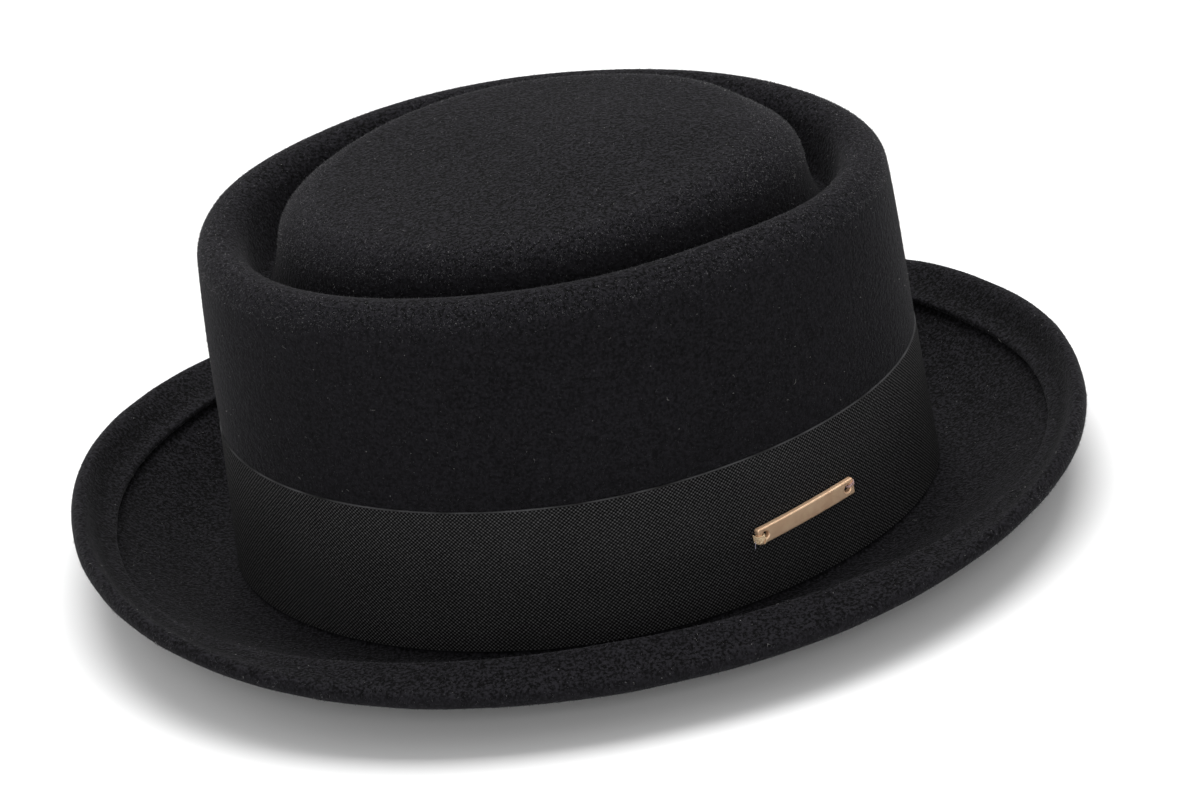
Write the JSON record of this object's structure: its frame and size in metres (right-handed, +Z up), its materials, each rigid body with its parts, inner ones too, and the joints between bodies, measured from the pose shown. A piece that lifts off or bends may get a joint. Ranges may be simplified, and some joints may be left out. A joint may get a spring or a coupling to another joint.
{
  "type": "pork pie hat",
  "caption": "Black felt pork pie hat: raised table inside a grooved rim, turned-up hemmed brim, woven ribbon band and a small plain metal bar.",
  "frame": {"origin": "on the floor under the middle of the brim, the hat standing on the flat ring of felt round its foot", "axes": "+X to the front of the hat, +Y to the wearer's left, +Z up"},
  "size_m": [0.2916, 0.2546, 0.1181],
  "materials": {
    "felt": "brushed wool felt",
    "ribbon": "fine matt weave",
    "bar": "satin, rose gold colour"
  },
  "bodies": {
    "root": {"felt_body": "felt", "ribbon_band": "ribbon", "metal_bar": "bar"}
  },
  "joints": []
}
